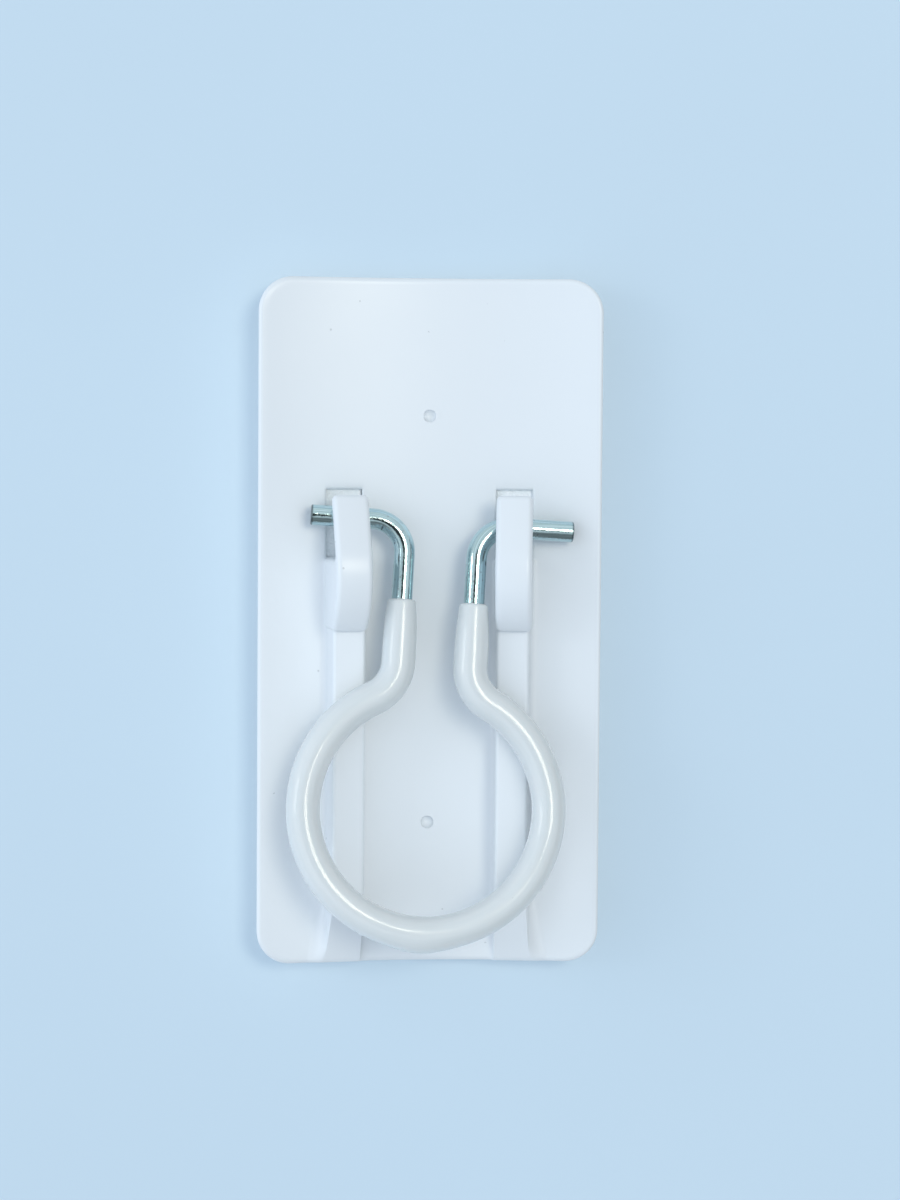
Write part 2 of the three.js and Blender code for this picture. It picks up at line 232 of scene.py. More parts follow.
class PadSizes(PropertyGroup):
    """The foam pad behind the plate."""

    width: length("Width", "Across the pad", (PAD_HIGH.x - PAD_LOW.x) / MM)
    height: length("Height", "From the lower to the upper edge", (PAD_HIGH.z - PAD_LOW.z) / MM)
    corner: length("Corner", "Radius of the corners", 4)
    gap: length("Gap", "Between the plate's back and the pad", 0.1)
    rounding: length("Rounding", "Softness of the cut edges", 0.25)
    bulge: length("Bulge", "How far the foam swells into the windows", 1.2)


class Finishes(PropertyGroup):
    """Colours of the pieces and of the stage."""

    plate_pale: colour("Plate, pale", "Moulded plastic at its palest", (0.83, 0.855, 0.875))
    plate_deep: colour("Plate, deep", "Moulded plastic at its deepest", (0.82, 0.847, 0.869))
    vinyl_pale: colour("Vinyl, pale", "Dipped coat at its palest", (0.755, 0.772, 0.765))
    vinyl_deep: colour("Vinyl, deep", "Dipped coat at its deepest", (0.71, 0.738, 0.733))
    vinyl_clear: colour("Vinyl, clear", "Light that passes one skin of vinyl", (0.78, 0.79, 0.78))
    # Zinc colours: the plating's pale metal, tinted teal as painted reflection of the blue wall.
    zinc_pale: colour("Zinc, pale", "Zinc plating at its palest", (0.61, 0.79, 0.825))
    zinc_deep: colour("Zinc, deep", "Zinc plating along its drawn lines", (0.41, 0.56, 0.59))
    # Near-black, at the cut ends over their chamfer and in the tool scuffs.
    cut: colour("Cut end", "Bare steel at the cut ends", (0.07, 0.08, 0.09))
    foam_pale: colour("Foam, pale", "Pad at its palest", (0.96, 0.97, 0.98))
    foam_deep: colour("Foam, deep", "Pad in its cells", (0.90, 0.93, 0.94))
    dust: colour("Dust", "Specks left by handling", (0.30, 0.31, 0.33))
    wall: colour("Wall", "Plain wall behind the holder", (0.62, 0.74, 0.83))


class StageSettings(PropertyGroup):
    """The camera, the lamps and the wall."""

    camera_x: length("Camera across", "Camera to the right of the holder's middle", -36.5)
    camera_y: length("Camera back", "Camera in front of the wall", -450)
    camera_z: length("Camera up", "Camera above the holder's middle", 29.8)
    camera_yaw: angle("Camera yaw", "Turned to the left", -5.072)
    camera_pitch: angle("Camera pitch", "Tipped up", -3.4)
    camera_roll: angle("Camera roll", "Rolled", -0.42)
    focal_share: FloatProperty(
        name="Focal share", description="Focal length over the picture's height", default=2.559
    )
    wall_size: length("Wall size", "Side of the wall", 4000)
    lamp_distance: length("Lamp distance", "From the holder to each lamp", 1500)
    key_right: angle("Key right", "Key lamp to the right of straight on", 16)
    key_up: angle("Key up", "Key lamp above straight on", 14)
    key_size: length("Key size", "Side of the key lamp", 440)
    key_watts: FloatProperty(name="Key power", description="Key lamp", default=4.8, unit="POWER")
    key_colour: colour("Key colour", "Tint of the key lamp", (1, 0.945, 0.77))
    fill_left: angle("Fill left", "Fill lamp to the left of straight on", 59)
    fill_up: angle("Fill up", "Fill lamp above straight on", 10)
    fill_size: length("Fill size", "Side of the fill lamp", 400)
    fill_watts: FloatProperty(name="Fill power", description="Fill lamp", default=1.5, unit="POWER")
    fill_colour: colour("Fill colour", "Tint of the fill lamp", (0.97, 0.98, 1))
    ambient: FloatProperty(name="Ambient", description="Light from all round", default=1.14, min=0)
    ambient_colour: colour("Ambient colour", "Tint of the light all round", (0.724, 0.845, 0.985))
    shown_colour: colour("Background", "Behind the holder and in its gloss", (0.77, 0.82, 0.855))


# Meshes from arrays


def mesh_object(name, points, faces):
    """A mesh from an array of points and a list of faces, smooth except along its sharp edges."""
    mesh = bpy.data.meshes.new(name)
    mesh.from_pydata(points.reshape(-1, 3).tolist(), [], faces)
    mesh.validate()
    mesh.shade_smooth()
    mesh.set_sharp_from_angle(angle=SHARP)
    piece = bpy.data.objects.new(name, mesh)
    bpy.context.scene.collection.objects.link(piece)
    return piece


def hand_over(piece, body, slot, material, *nodes):
    """Gives a piece its material, the body it moves with and the nodes it stands for."""
    piece.data.materials.append(material)
    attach(piece, body)
    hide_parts(*nodes)


def without_repeats(values):
    """Sorted places, with those that fall together counted once."""
    return np.unique(np.round(np.concatenate(values), 7))


def quarter_places(radius, count=7):
    """Distances in from a rounded edge that are evenly spaced round its quarter circle."""
    return radius * (1 - np.sin(np.linspace(0, math.pi / 2, count)))


def inside_distance(x, z, half_width, half_height, corner):
    """Distance in from the edge of a rectangle with round corners: the distance to the nearest
    side, or to the corner's arc where both sides are nearer than its radius."""
    over_x = np.abs(x) - (half_width - corner)
    over_z = np.abs(z) - (half_height - corner)
    outside = np.hypot(np.maximum(over_x, 0), np.maximum(over_z, 0))
    return corner - outside - np.minimum(np.maximum(over_x, over_z), 0)


def edge_drop(distance, radius):
    """How far a rounded edge falls off: a quarter circle over the last radius before the edge."""
    over = np.clip(1 - distance / radius, 0, 1)
    return radius * (1 - np.sqrt(1 - over**2))


def half_width_at(z, half_width, half_height, corner):
    """Half the width of a rectangle with round corners, level by level."""
    over = np.clip(np.abs(z) - (half_height - corner), 0, corner)
    return half_width - corner + np.sqrt(corner**2 - over**2)


def ease(value):
    """0 to 1 with level ends: three times the square less twice the cube."""
    value = np.clip(value, 0, 1)
    return value * value * (3 - 2 * value)


def soft_lower(a, b, blend):
    """The lower of two heights, rounded off by a parabola where they are within the blend."""
    near = np.clip(0.5 + 0.5 * (b - a) / blend, 0, 1)
    return b + (a - b) * near - blend * near * (1 - near)


def shell(front, back, solid):
    """Closed skin between two grids of points: each solid cell has a face on both grids, and a wall
    joins the grids along every border between a solid cell and an open one."""
    rows, columns = front.shape[:2]
    deep = rows * columns
    near = np.arange(deep).reshape(rows, columns)
    a, b, c, d = near[:-1, :-1], near[:-1, 1:], near[1:, 1:], near[1:, :-1]
    faces = [np.stack([a, b, c, d], -1)[solid], np.stack([a, d, c, b], -1)[solid] + deep]
    around = np.pad(solid, 1)
    borders = (
        (b, a, around[:-2, 1:-1]),
        (c, b, around[1:-1, 2:]),
        (d, c, around[2:, 1:-1]),
        (a, d, around[1:-1, :-2]),
    )
    for start, end, beyond in borders:
        open_side = solid & ~beyond
        start, end = start[open_side], end[open_side]
        faces.append(np.stack([start, end, end + deep, start + deep], -1))
    faces = np.concatenate(faces)
    used, faces = np.unique(faces, return_inverse=True)
    points = np.concatenate([front.reshape(-1, 3), back.reshape(-1, 3)])[used]
    return points, faces.reshape(-1, 4).tolist()


def skin(rows, columns, closed_rows=False):
    """Faces over a grid of points whose columns close on themselves, and whose rows do if asked."""
    index = np.arange(rows * columns).reshape(rows, columns)
    beyond = np.roll(index, -1, 0)
    if not closed_rows:
        index, beyond = index[:-1], beyond[:-1]
    quads = [index, np.roll(index, -1, 1), np.roll(beyond, -1, 1), beyond]
    return np.stack(quads, -1).reshape(-1, 4).tolist()


def capped(rows, columns):
    """The same faces with one more at each end."""
    first = list(range(columns))
    last = [(rows - 1) * columns + i for i in first]
    return skin(rows, columns) + [first[::-1], last]


# The moulding


def dish_axis(plate):
    """Distance from the wall to the axis of the dished face, towards the front."""
    return -(plate.face + plate.dish_radius)


def on_face(plate, turn, across, off, level):
    """Points in a frame that stands on the dished face: turned round the dish's axis, then across
    the face, off it and along it."""
    out = plate.dish_radius - off
    x = out * math.sin(turn) + across * math.cos(turn)
    y = dish_axis(plate) + out * math.cos(turn) - across * math.sin(turn)
    return np.stack(np.broadcast_arrays(x, y, level), -1)


def rib_turn(plate, ribs):
    """How far round the dish's axis a rib stands from the middle."""
    return ribs.spacing / 2 / plate.dish_radius


def rib_section(across, ribs, fillet):
    """Height of a rib across its width: a hollow quarter circle at the foot, a side that leans in
    by the draft, and a quarter circle up to the flat top."""
    away = np.abs(across)
    top = ribs.width / 2
    foot = top + ribs.draft
    out = np.clip((away - foot) / fillet, 0, 1)
    hollow = fillet * (1 - np.sqrt(1 - (1 - out) ** 2))
    side = (ribs.height - ribs.rounding - fillet) * np.clip((foot - away) / ribs.draft, 0, 1)
    over = np.clip((away - top) / ribs.rounding + 1, 0, 1)
    return hollow + side + ribs.rounding * np.sqrt(1 - over**2)


def rib_places(plate, ribs):
    """Places across a rib that its section needs, with those of the window above it."""
    top = ribs.width / 2
    foot = top + ribs.draft
    window = plate.window_width / 2
    half = without_repeats(
        [
            foot + quarter_places(ribs.fillet, 9),
            np.linspace(top, foot, 6),
            top - quarter_places(ribs.rounding, 8),
            np.linspace(0, top - ribs.rounding, 6),
            window + quarter_places(plate.back_rounding, 4),
        ]
    )
    return without_repeats([half, -half])


def plate_columns(plate, ribs):
    """Places across the plate: fine round the marks and the outer edge, and as each rib's section
    asks. A stretch is given by its two ends and how many places it gets."""
    turn = rib_turn(plate, ribs)
    across = rib_places(plate, ribs)
    rib = plate.dish_radius * np.sin(turn + np.arcsin(across / plate.dish_radius))
    fine = MARK_REACH * plate.mark_radius
    flare_end = rib[-1] + FLARE_REACH * ribs.flare
    edge = plate.width / 2
    right = without_repeats(
        [
            np.linspace(0, fine, 16),
            np.linspace(fine, rib[0], 8),
            rib,
            np.linspace(rib[-1], flare_end, 22),
            np.linspace(flare_end, edge - plate.rounding, 6),
            edge - quarter_places(plate.rounding),
        ]
    )
    return without_repeats([right, -right])


def plate_rows(plate, ribs):
    """Levels up the plate: fine round its edges, marks, ramps and windows. A stretch is given by
    its two ends and how many levels it gets."""
    high = plate.height / 2
    edges = high - quarter_places(plate.rounding)
    fine = MARK_REACH * plate.mark_radius
    inner = high - plate.rounding
    crest = ribs.ramp - high + CREST_REACH
    window = np.linspace(plate.window_low, plate.window_high, 10)
    return without_repeats(
        [
            -edges,
            np.linspace(-inner, plate.corner - high, 14),
            np.linspace(plate.corner - high, crest, 16),
            np.linspace(crest, plate.mark_low - fine, 8),
            np.linspace(plate.mark_low - fine, plate.mark_low + fine, 31),
            np.linspace(plate.mark_low + fine, ribs.top - MM, 24),
            np.linspace(ribs.top - MM, plate.window_low, 8),
            window,
            window[0] - quarter_places(plate.back_rounding, 4),
            window[-1] + quarter_places(plate.back_rounding, 4),
            np.linspace(plate.window_high + MM, plate.mark_high - fine, 8),
            np.linspace(plate.mark_high - fine, plate.mark_high + fine, 31),
            np.linspace(plate.mark_high + fine, high - plate.corner, 11),
            np.linspace(high - plate.corner, inner, 14),
            edges,
        ]
    )


def plate_surface(plate, ribs):
    """The dished plate. Its front is the dish's circle carried up the plate, raised along each rib
    by the rib's section or its ramp, whichever is lower, sunk at the marks, and falling off in a
    quarter circle at the outline and round the windows. Its back is the larger circle."""
    radius = plate.dish_radius
    half_width, half_height = plate.width / 2, plate.height / 2
    turn = rib_turn(plate, ribs)
    columns = plate_columns(plate, ribs)
    levels = plate_rows(plate, ribs)
    fixed = radius * math.sin(turn) + ribs.width
    widths = half_width_at(levels, half_width, half_height, plate.corner)
    squeeze = (widths[:, None] - fixed) / (half_width - fixed)
    side = np.sign(columns)
    outer = np.maximum(np.abs(columns) - fixed, 0)
    x = side * (np.minimum(np.abs(columns), fixed) + outer * squeeze)
    z = np.broadcast_to(levels[:, None], x.shape)
    across = radius * np.sin(np.arcsin(np.abs(columns) / radius) - turn)

    up_ramp = (z + half_height) / ribs.ramp
    crest = up_ramp * (ribs.height - ribs.ramp_end) + ribs.ramp_end
    fillet = ribs.fillet + ribs.flare * np.clip(1 - up_ramp, 0, 1) * (across > 0)
    fade = ease((ribs.top - z) / RIB_FADE)
    height = soft_lower(rib_section(across, ribs, fillet) * fade, crest, ribs.ramp_blend)

    inside = inside_distance(x, z, half_width, half_height, plate.corner)
    drop = edge_drop(inside, plate.rounding)
    window_z = np.maximum(plate.window_low - z, z - plate.window_high)
    window_gap = np.maximum(np.abs(across) - plate.window_width / 2, window_z)
    drop = np.maximum(drop, edge_drop(np.maximum(window_gap, 0), plate.back_rounding))
    for mark in (plate.mark_low, plate.mark_high):
        away = np.hypot(x, z - mark) / plate.mark_radius
        drop = drop + plate.mark_depth * np.sqrt(np.maximum(1 - away**2, 0))

    face_y = dish_axis(plate) + np.sqrt(radius**2 - x**2)
    front_x = x - height * side * math.sin(turn)
    front = np.stack([front_x, face_y - height * math.cos(turn) + drop, z], -1)
    back_y = dish_axis(plate) + np.sqrt((radius + plate.wall) ** 2 - x**2)
    back = np.stack([x, back_y - edge_drop(inside, plate.back_rounding), z], -1)

    middle = (across[1:] + across[:-1]) / 2
    between = (levels[1:] + levels[:-1]) / 2
    in_window = (between > plate.window_low) & (between < plate.window_high)
    solid = ~(in_window[:, None] & (np.abs(middle) < plate.window_width / 2)[None])
    return shell(front, back, solid)


def arc(centre, radius, start, end, count):
    """Points round a circle from one angle to another."""
    turn = np.linspace(start, end, count)
    return np.stack([centre[0] + radius * np.cos(turn), centre[1] + radius * np.sin(turn)], -1)


def hook_outline(hooks):
    """Side view of a hook, as level and height off the face: up the foot, round its edge, along the
    crown's circle and the sloping finger to the round tip, back along the finger's inside, through
    the throat's hollow and down the throat."""
    half = hooks.wall / 2
    slope = hooks.slope
    square = math.pi / 2 - slope
    tip = np.array([hooks.tip, hooks.tip_height])
    crown_middle = hooks.tip_height + (hooks.tip - hooks.crown) * math.tan(slope)
    centre = (hooks.crown, crown_middle + (half - hooks.crown_radius) / math.cos(slope))
    edge_level = hooks.foot + hooks.foot_rounding
    reach = hooks.crown_radius - hooks.foot_rounding
    lean = math.pi - math.acos((hooks.crown - edge_level) / reach)
    edge = (edge_level, centre[1] + reach * math.sin(lean))
    inner = tip - half * np.array([math.sin(slope), math.cos(slope)])
    ceiling = inner[1] + (inner[0] - hooks.floor) * math.tan(slope)
    bend = np.linspace(0, 1, 10)[:, None]
    low = np.array([hooks.floor, ceiling - hooks.throat])
    corner = np.array([hooks.floor, ceiling])
    high = corner + hooks.throat * np.array([math.cos(slope), -math.sin(slope)])
    hollow = (1 - bend) ** 2 * low + 2 * bend * (1 - bend) * corner + bend**2 * high
    return np.concatenate(
        [
            np.linspace((hooks.foot, -hooks.sunk), (hooks.foot, edge[1]), 8)[:-1],
            arc(edge, hooks.foot_rounding, math.pi, lean, 8)[:-1],
            arc(centre, hooks.crown_radius, lean, square, 30),
            arc(tip, half, square, square - math.pi, 18),
            np.linspace(inner, high, 8)[1:-1],
            hollow[::-1],
            np.linspace(low, (hooks.floor, -hooks.sunk), 8)[1:],
            np.linspace((hooks.floor, -hooks.sunk), (hooks.foot, -hooks.sunk), 8)[1:-1],
        ]
    )


def hook_surface(plate, hooks, turn):
    """A hook: its side view carried across the hook's width, and drawn in by a quarter circle at
    both sides, so that all its edges are round."""
    outline = hook_outline(hooks)
    along = np.roll(outline, -1, 0) - np.roll(outline, 1, 0)
    along = along / np.linalg.norm(along, axis=1, keepdims=True)
    outward = np.stack([-along[:, 1], along[:, 0]], -1)
    quarter = np.linspace(0, math.pi / 2, 8)
    reach = hooks.width / 2 - hooks.rounding + hooks.rounding * np.sin(quarter)
    inset = hooks.rounding * (1 - np.cos(quarter))
    across = np.concatenate([-reach[::-1], reach]) + math.copysign(hooks.shift, turn)
    inset = np.concatenate([inset[::-1], inset])
    loops = outline[None] - outward[None] * inset[:, None, None]
    points = on_face(plate, turn, across[:, None], loops[..., 1], loops[..., 0])
    return points[:, ::-1], capped(*points.shape[:2])


def pad_surface(plate, ribs, pad):
    """The pad: flat on the wall, its front the circle just behind the plate's back, raised evenly
    where it swells into the windows, with its edges falling off in small quarter circles."""
    half_width, half_height = pad.width / 2, pad.height / 2
    turn = rib_turn(plate, ribs)
    seat = plate.dish_radius + plate.wall + pad.gap
    edge = quarter_places(pad.rounding, 5)
    inner_x, inner_z = half_width - pad.rounding, half_height - pad.rounding
    window = plate.window_width / 2
    inside = pad.rounding
    swell = seat * math.sin(turn) + np.linspace(-window - inside, window + inside, 24)
    columns = without_repeats(
        [np.linspace(-inner_x, inner_x, 41), half_width - edge, edge - half_width, swell, -swell]
    )
    levels = without_repeats(
        [
            np.linspace(pad.corner - half_height, half_height - pad.corner, 40),
            np.linspace(half_height - pad.corner, inner_z, 12),
            np.linspace(-inner_z, pad.corner - half_height, 12),
            half_height - edge,
            edge - half_height,
            np.linspace(plate.window_low - inside, plate.window_high + inside, 44),
        ]
    )
    widths = half_width_at(levels, half_width, half_height, pad.corner)
    x = columns[None] * widths[:, None] / half_width
    z = np.broadcast_to(levels[:, None], x.shape)
    drop = edge_drop(inside_distance(x, z, half_width, half_height, pad.corner), pad.rounding)
    across = window - np.abs(seat * np.sin(np.arcsin(np.abs(x) / seat) - turn))
    up = np.minimum(z - plate.window_low, plate.window_high - z)
    rise = pad.bulge * ease(np.minimum(across, up) / inside + 1)
    front_y = dish_axis(plate) + np.sqrt(seat**2 - x**2) + drop - rise * math.cos(turn)
    front = np.stack([x - np.sign(x) * rise * math.sin(turn), front_y, z], -1)
    back = np.stack([x, -drop, z], -1)
    return shell(front, back, np.ones((len(levels) - 1, len(columns) - 1), bool))


# The wire and its coat


def wire_bends(wire, from_end):
    """The wire as straight stretches and bends, each a length and a turn to the left per metre:
    from a stub's end to the other, or from one coated end to the other."""
    bend_reach = wire.ring + wire.bend
    swing = math.acos((wire.arm_offset + wire.bend) / bend_reach)
    bend = (wire.bend * swing, -1 / wire.bend)
    ring = (wire.ring * (math.pi + 2 * swing), 1 / wire.ring)
    elbow = (wire.elbow * math.pi / 2, -1 / wire.elbow)
    if from_end is None:
        stub = (wire.stub - wire.arm_offset - wire.elbow, 0)
        arm = (wire.arm, 0)
        return [stub, elbow, arm, bend, ring, bend, arm, elbow, stub]
    arm = (wire.arm - from_end, 0)
    return [arm, bend, ring, bend, arm]


def bent_line(bends, start, heading, step):
    """Points, directions and distances along a bent wire. The heading grows evenly along a bend, so
    a bend is an arc: its chord is the sine of half its turn over the half turn."""
    points, headings, distances = [], [], []
    place, distance = np.array(start), 0.0
    for reach, turn in bends:
        along = np.linspace(0, reach, max(2, math.ceil(reach / step) + 1))
        half = along * turn / 2
        chord = along * np.sinc(half / math.pi)
        middle = heading + half
        line = place + chord[:, None] * np.stack([np.cos(middle), np.sin(middle)], -1)
        points.append(line[:-1])
        headings.append((heading + along * turn)[:-1])
        distances.append((distance + along)[:-1])
        place, heading, distance = line[-1], heading + reach * turn, distance + reach
    points.append(place[None])
    headings.append(np.array([heading]))
    distances.append(np.array([distance]))
    return np.concatenate(points), np.concatenate(headings), np.concatenate(distances)


def round_line(line, sides, radius):
    """Rings round a line in the wire's plane: each ring is a circle of the given radius, square to
    the line's heading, with its first point to the left."""
    points, headings, _ = line
    turn = np.linspace(0, 2 * math.pi, sides, endpoint=False)
    across = radius * np.cos(turn)
    u = points[:, :1] - np.sin(headings)[:, None] * across
    v = points[:, 1:] + np.cos(headings)[:, None] * across
    return np.stack([u, -radius * np.sin(turn), v], -1)


def hang(points, wire):
    """Points of the wire's own plane, with the stubs' axis as origin, where the ring rests: leaning
    out about the stubs, then turned in its plane, then moved to the pivot."""
    lean = Matrix.Rotation(-wire.lean, 3, "X")
    turn = Matrix.Rotation(RING_TURN, 3, "Y")
    return points @ np.array(turn @ lean).T + np.array(PIVOT)


def along_and_around(line, sides):
    """For each point of round_line: the distance along the wire, in centimetres, and the cosine and
    sine of the place round it."""
    turn = np.linspace(0, 2 * math.pi, sides, endpoint=False)
    along = line[2][:, None] / CM
    around = np.broadcast_arrays(along, np.cos(turn), np.sin(turn))
    return np.stack(around, -1)


def store_lengthwise(piece, values):
    """Keeps two attributes on a mesh's points: the vectors as lengthwise, and the distance from the
    nearer end, in millimetres, as from_end."""
    attribute = piece.data.attributes.new("lengthwise", "FLOAT_VECTOR", "POINT")
    attribute.data.foreach_set("vector", values.astype(np.float32).ravel())
    along = values[..., 0] * (CM / MM)
    from_end = np.minimum(along, along.max() - along)
    attribute = piece.data.attributes.new("from_end", "FLOAT", "POINT")
    attribute.data.foreach_set("value", from_end.astype(np.float32).ravel())


def repeated_ends(line, count):
    """The line with its first and last station repeated, for the rings of an end's rounding."""
    order = np.concatenate(
        [np.zeros(count, int), np.arange(len(line[2])), np.full(count, len(line[2]) - 1)]
    )
    return tuple(part[order] for part in line)


def shifted(line, shift):
    """The line with each station moved along its own heading."""
    points, headings, distances = line
    forward = np.stack([np.cos(headings), np.sin(headings)], -1)
    return points + forward * shift[:, None], headings, distances + shift


def with_stations(line, places):
    """The line with more stations at the given distances from both of its straight ends."""
    points, headings, distances = line
    wanted = without_repeats([distances, places, distances[-1] - places])
    middle = np.stack([np.interp(wanted, distances, points[:, i]) for i in (0, 1)], -1)
    return middle, np.interp(wanted, distances, headings), wanted


def wire_surface(wire):
    """The wire: circles along its bent line, drawn in over a rounded chamfer at both cut ends."""
    bends = wire_bends(wire, None)
    line = repeated_ends(bent_line(bends, (-wire.stub, 0.0), 0.0, WIRE_STEP), END_ROUNDS)
    count = len(line[2])
    quarter = np.linspace(0, math.pi / 2, END_ROUNDS + 1)
    inset, shift = np.zeros(count), np.zeros(count)
    inset[: END_ROUNDS + 1] = wire.chamfer * (1 - np.sin(quarter))
    inset[-END_ROUNDS - 1 :] = inset[END_ROUNDS::-1]
    shift[: END_ROUNDS + 1] = wire.chamfer * (1 - np.cos(quarter))
    shift[-END_ROUNDS - 1 :] = -shift[END_ROUNDS::-1]
    line = shifted(line, shift)
    rings = round_line(line, WIRE_SIDES, (wire.diameter / 2 - inset)[:, None])
    return hang(rings, wire), capped(count, WIRE_SIDES), along_and_around(line, WIRE_SIDES)


def coat_radius(distance, sides, coat):
    """Outer radius of the coat: a taper that levels off like a sine, a quarter circle at the ends,
    long low ripples that differ from side to side, and a bead on the outside of the lowest
    point."""
    total = distance[-1]
    turn = np.linspace(0, 2 * math.pi, sides, endpoint=False)
    end = np.minimum(distance, total - distance)[:, None]
    grown = np.sin(np.clip(end / coat.taper, 0, 1) * math.pi / 2)
    radius = (coat.mouth + (coat.diameter - coat.mouth) * grown) / 2
    lip = edge_drop(end, coat.lip)
    place = distance[:, None] / MM
    short, long = (place / radian for radian in RIPPLES)
    ripple = np.sin(short + np.sin(turn)) * np.sin(long + 2 * np.cos(turn))
    bead = np.exp(-(((distance - total / 2) / coat.drip_length) ** 2))[:, None]
    outside = np.maximum(-np.cos(turn), 0) ** 2
    return radius - lip + coat.ripple * ripple * grown + coat.drip * bead * outside


def coat_surface(wire, coat):
    """The coat: its outer circles along the wire, then the bore's circles back to the start."""
    start = (-wire.arm_offset, -wire.elbow - coat.bare)
    line = bent_line(wire_bends(wire, coat.bare), start, -math.pi / 2, COAT_STEP)
    line = with_stations(line, quarter_places(coat.lip))
    outside = round_line(line, COAT_SIDES, coat_radius(line[2], COAT_SIDES, coat))
    bore = np.full((len(line[2]), 1), wire.diameter / 2 + coat.gap)
    inside = round_line(line, COAT_SIDES, bore)
    lengthwise = along_and_around(line, COAT_SIDES)
    rings = np.concatenate([outside, inside[::-1]])
    lengthwise = np.concatenate([lengthwise, lengthwise[::-1]])
    return hang(rings, wire), skin(len(rings), COAT_SIDES, closed_rows=True), lengthwise


# Nodes, and the effects that more than one finish uses


def feed(tree, node, values):
    """Sets each socket of a node to a value, or links it to another node's output."""
    for name, value in values.items():
        if isinstance(value, bpy.types.NodeSocket):
            tree.links.new(value, node.inputs[name])
        else:
            node.inputs[name].default_value = value
    return node


def add_node(tree, kind, values=None, **settings):
    """A node with its settings and what its sockets are fed with."""
    made = tree.nodes.new(kind)
    for name, value in settings.items():
        setattr(made, name, value)
    return feed(tree, made, values or {})


def maths(tree, operation, *values):
    """The result of one operation on numbers."""
    made = add_node(tree, "ShaderNodeMath", dict(enumerate(values)), operation=operation)
    return made.outputs["Value"]


def spread(tree, value, start, end, low=0.0, high=1.0, **settings):
    """A value that runs from low to high while another runs from start to end."""
    values = {"Value": value, "From Min": start, "From Max": end, "To Min": low, "To Max": high}
    return add_node(tree, "ShaderNodeMapRange", values, **settings).outputs["Result"]


def noise(tree, places, scale, **values):
    """A noise over the given places."""
    values = {"Vector": places, "Scale": scale, **values}
    return add_node(tree, "ShaderNodeTexNoise", values).outputs["Fac"]


def cells(tree, places, scale):
    """The distance from the middle of the nearest cell."""
    values = {"Vector": places, "Scale": scale}
    return add_node(tree, "ShaderNodeTexVoronoi", values, feature="F1").outputs["Distance"]


def rgba(colour_value):
    """A colour with its alpha."""
    return (*colour_value, 1)


def tint(tree, base, mask, colour_value):
    """The base colour with another laid over it where the mask is high."""
    values = {"Factor": mask, "A": base, "B": rgba(colour_value)}
    return add_node(tree, "ShaderNodeMix", values, data_type="RGBA").outputs["Result"]


def group_sockets(group, inputs, outputs):
    """Gives a node group its sockets, and returns what comes into it and its end node."""
    for way, sockets in (("INPUT", inputs), ("OUTPUT", outputs)):
        for name, kind in sockets.items():
            group.interface.new_socket(name, in_out=way, socket_type=f"NodeSocket{kind}")
    return group.nodes.new("NodeGroupInput").outputs, group.nodes.new("NodeGroupOutput")


def soft_mottle(group):
    """Soft patches between two colours, broad ones and fine ones together."""
    given, result = group_sockets(
        group,
        {"Vector": "Vector", "Scale": "Float", "Pale": "Color", "Deep": "Color"},
        {"Color": "Color", "Mask": "Float"},
    )
    cloud = noise(group, given["Vector"], given["Scale"], Detail=5.0, Roughness=0.55)
    mask = spread(group, cloud, 0.36, 0.64)
    values = {"Factor": mask, "A": given["Pale"], "B": given["Deep"]}
    mix = add_node(group, "ShaderNodeMix", values, data_type="RGBA")
    feed(group, result, {"Color": mix.outputs["Result"], "Mask": mask})


def handling_specks(group):
    """Small scattered specks: cells whose middle is near, kept only where a noise is high."""
    given, result = group_sockets(
        group,
        {"Vector": "Vector", "Scale": "Float", "Size": "Float", "Spread": "Float"},
        {"Mask": "Float"},
    )
    distance = cells(group, given["Vector"], given["Scale"])
    near = maths(group, "LESS_THAN", distance, given["Size"])
    cloud = noise(group, given["Vector"], 130.0, Detail=2.0)
    kept = maths(group, "GREATER_THAN", cloud, given["Spread"])
    feed(group, result, {"Mask": maths(group, "MULTIPLY", near, kept)})


def skin_grain(group):
    """Height of a fine grain on top of a long soft waviness."""
    given, result = group_sockets(
        group,
        {"Vector": "Vector", "Grain": "Float", "Waves": "Float", "Depth": "Float"},
        {"Height": "Float"},
    )
    grain = noise(group, given["Vector"], given["Grain"], Detail=3.0)
    waves = noise(group, given["Vector"], given["Waves"], Detail=1.0)
    feed(group, result, {"Height": maths(group, "MULTIPLY_ADD", grain, given["Depth"], waves)})


def tool_scuff(group):
    """One scuff: an egg-shaped patch of places along and round the wire, dark in its middle."""
    given, result = group_sockets(
        group, {"Vector": "Vector", "Centre": "Vector", "Size": "Vector"}, {"Mask": "Float"}
    )
    kind = "ShaderNodeVectorMath"
    values = {0: given["Vector"], 1: given["Centre"]}
    away = add_node(group, kind, values, operation="SUBTRACT").outputs["Vector"]
    sized = add_node(group, kind, {0: away, 1: given["Size"]}, operation="DIVIDE").outputs["Vector"]
    reach = add_node(group, kind, {0: sized}, operation="LENGTH").outputs["Value"]
    feed(group, result, {"Mask": spread(group, reach, 1.0, 0.5, high=0.75)})


def place_group(tree, make, places, **values):
    """What a shared group puts out in a material's tree, fed with the material's own values. The
    group is made once and named after the function that makes it."""
    name = make.__name__
    if name not in bpy.data.node_groups:
        make(bpy.data.node_groups.new(name, "ShaderNodeTree"))
    values = {"Vector": places, **values}
    shared = bpy.data.node_groups[name]
    return add_node(tree, "ShaderNodeGroup", values, node_tree=shared).outputs


# Finishes


def new_material(name, **values):
    """A material with its tree, its Principled shader and the sockets that hold one value."""
    material = bpy.data.materials.new(name)
    material.use_nodes = True
    tree = material.node_tree
    sockets = {socket.replace("_", " "): value for socket, value in values.items()}
    return material, tree, feed(tree, tree.nodes["Principled BSDF"], sockets)


def object_places(tree):
    """Places in the object's own coordinates."""
    return tree.nodes.new("ShaderNodeTexCoord").outputs["Object"]


